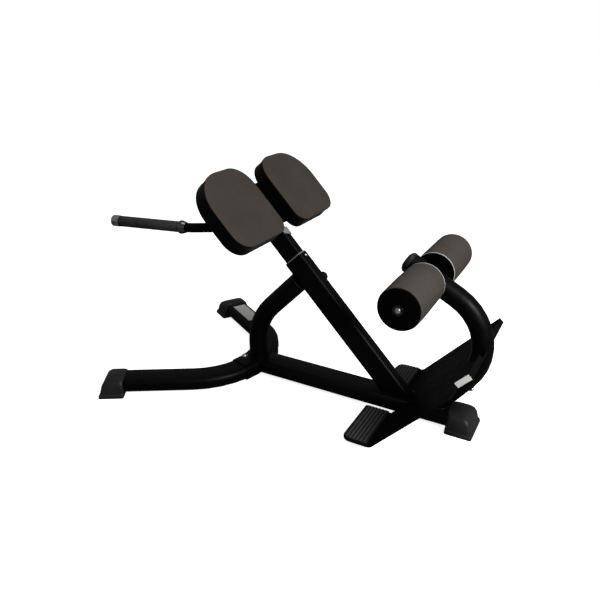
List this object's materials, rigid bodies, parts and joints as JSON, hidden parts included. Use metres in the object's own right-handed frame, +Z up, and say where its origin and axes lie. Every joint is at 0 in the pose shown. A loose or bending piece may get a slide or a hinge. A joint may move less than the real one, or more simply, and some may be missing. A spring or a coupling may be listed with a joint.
{
  "type": "roman chair back-extension bench",
  "caption": "45-degree back-extension bench with hip pads on a telescoping post, U-shaped handlebar, padded ankle rollers and a sloping sole plate.",
  "frame": {"origin": "on the floor, under the middle of the bench's length and width", "axes": "+X towards the foot platform and rollers, +Y across the bench towards the pull pin, +Z up"},
  "size_m": [1.2876, 0.8982, 0.78],
  "materials": {
    "black_paint": "near-black gloss powder coat over steel tube",
    "platform_paint": "dark grey speckled powder coat over steel sheet",
    "zinc_steel": "bright zinc-plated steel",
    "chrome_cap": "polished chrome",
    "grey_rubber": "satin moulded grey rubber",
    "black_plastic": "satin black moulded plastic",
    "pale_plastic": "light grey moulded nylon",
    "vinyl": "brown-grey grained vinyl over foam, with black side walls",
    "plywood": "plain plywood",
    "label": "blank pale label"
  },
  "bodies": {
    "bench_frame": {"base_beam": "black_paint", "rear_stabiliser": "black_paint", "saddle_bracket": "black_paint", "saddle_bolt_left": "zinc_steel", "saddle_bolt_right": "zinc_steel", "front_foot": "grey_rubber", "rear_foot_left": "grey_rubber", "rear_foot_right": "grey_rubber", "upright_sleeve": "black_paint", "sleeve_liner": "pale_plastic", "liner_screw": "zinc_steel", "lock_pin_housing": "black_paint", "lock_pin_spring": "zinc_steel", "rear_strut": "black_paint", "roller_arm": "black_paint", "roller_arm_cap": "grey_rubber", "arm_bolt": "zinc_steel", "roller_axle": "zinc_steel", "roller_spacer_left": "zinc_steel", "roller_spacer_right": "zinc_steel", "axle_bolt_left": "zinc_steel", "axle_bolt_right": "zinc_steel", "foot_plate": "platform_paint", "toe_tread_left": "grey_rubber", "toe_tread_right": "grey_rubber", "heel_label": "label", "leg_label": "label"},
    "pad_carriage": {"inner_post": "black_paint", "post_top_plug": "black_plastic", "post_bottom_plug": "black_plastic", "post_bumper": "pale_plastic", "pad_bracket_lower": "black_paint", "pad_bracket_upper": "black_paint", "pad_board_left": "plywood", "pad_board_right": "plywood", "hip_pad_left": "vinyl", "hip_pad_right": "vinyl", "pad_screw_lower_left": "zinc_steel", "pad_screw_lower_right": "zinc_steel", "pad_screw_upper_left": "zinc_steel", "pad_screw_upper_right": "zinc_steel", "handlebar": "black_paint", "grip_left": "grey_rubber", "grip_right": "grey_rubber", "grip_collar_left": "black_plastic", "grip_collar_right": "black_plastic", "grip_end_cap_left": "chrome_cap", "grip_end_cap_right": "chrome_cap"},
    "lock_pin": {"lock_pin": "zinc_steel", "lock_pin_knob": "black_plastic"},
    "roller_left": {"roller_pad_left": "vinyl", "roller_core_left": "zinc_steel", "roller_inner_disc_left": "black_plastic", "roller_outer_disc_left": "black_plastic", "roller_bush_left": "black_plastic"},
    "roller_right": {"roller_pad_right": "vinyl", "roller_core_right": "zinc_steel", "roller_inner_disc_right": "black_plastic", "roller_outer_disc_right": "black_plastic", "roller_bush_right": "black_plastic"}
  },
  "joints": [
    {"name": "pad_height_slide", "type": "slide", "parent": "bench_frame", "child": "pad_carriage", "axis": [-0.6896, 0, 0.7242], "range_m": [-0.05, 0.1]},
    {"name": "lock_pin_pull", "type": "slide", "parent": "bench_frame", "child": "lock_pin", "axis": [0, 1, 0], "range_m": [0, 0.012], "stiffness_N_per_m": 1500, "springref_m": -0.008},
    {"name": "left_roller_spin", "type": "hinge", "parent": "bench_frame", "child": "roller_left", "pos_m": [0.4257, 0, 0.4923], "axis": [0, 1, 0], "continuous": true},
    {"name": "right_roller_spin", "type": "hinge", "parent": "bench_frame", "child": "roller_right", "pos_m": [0.4257, 0, 0.4923], "axis": [0, 1, 0], "continuous": true}
  ]
}
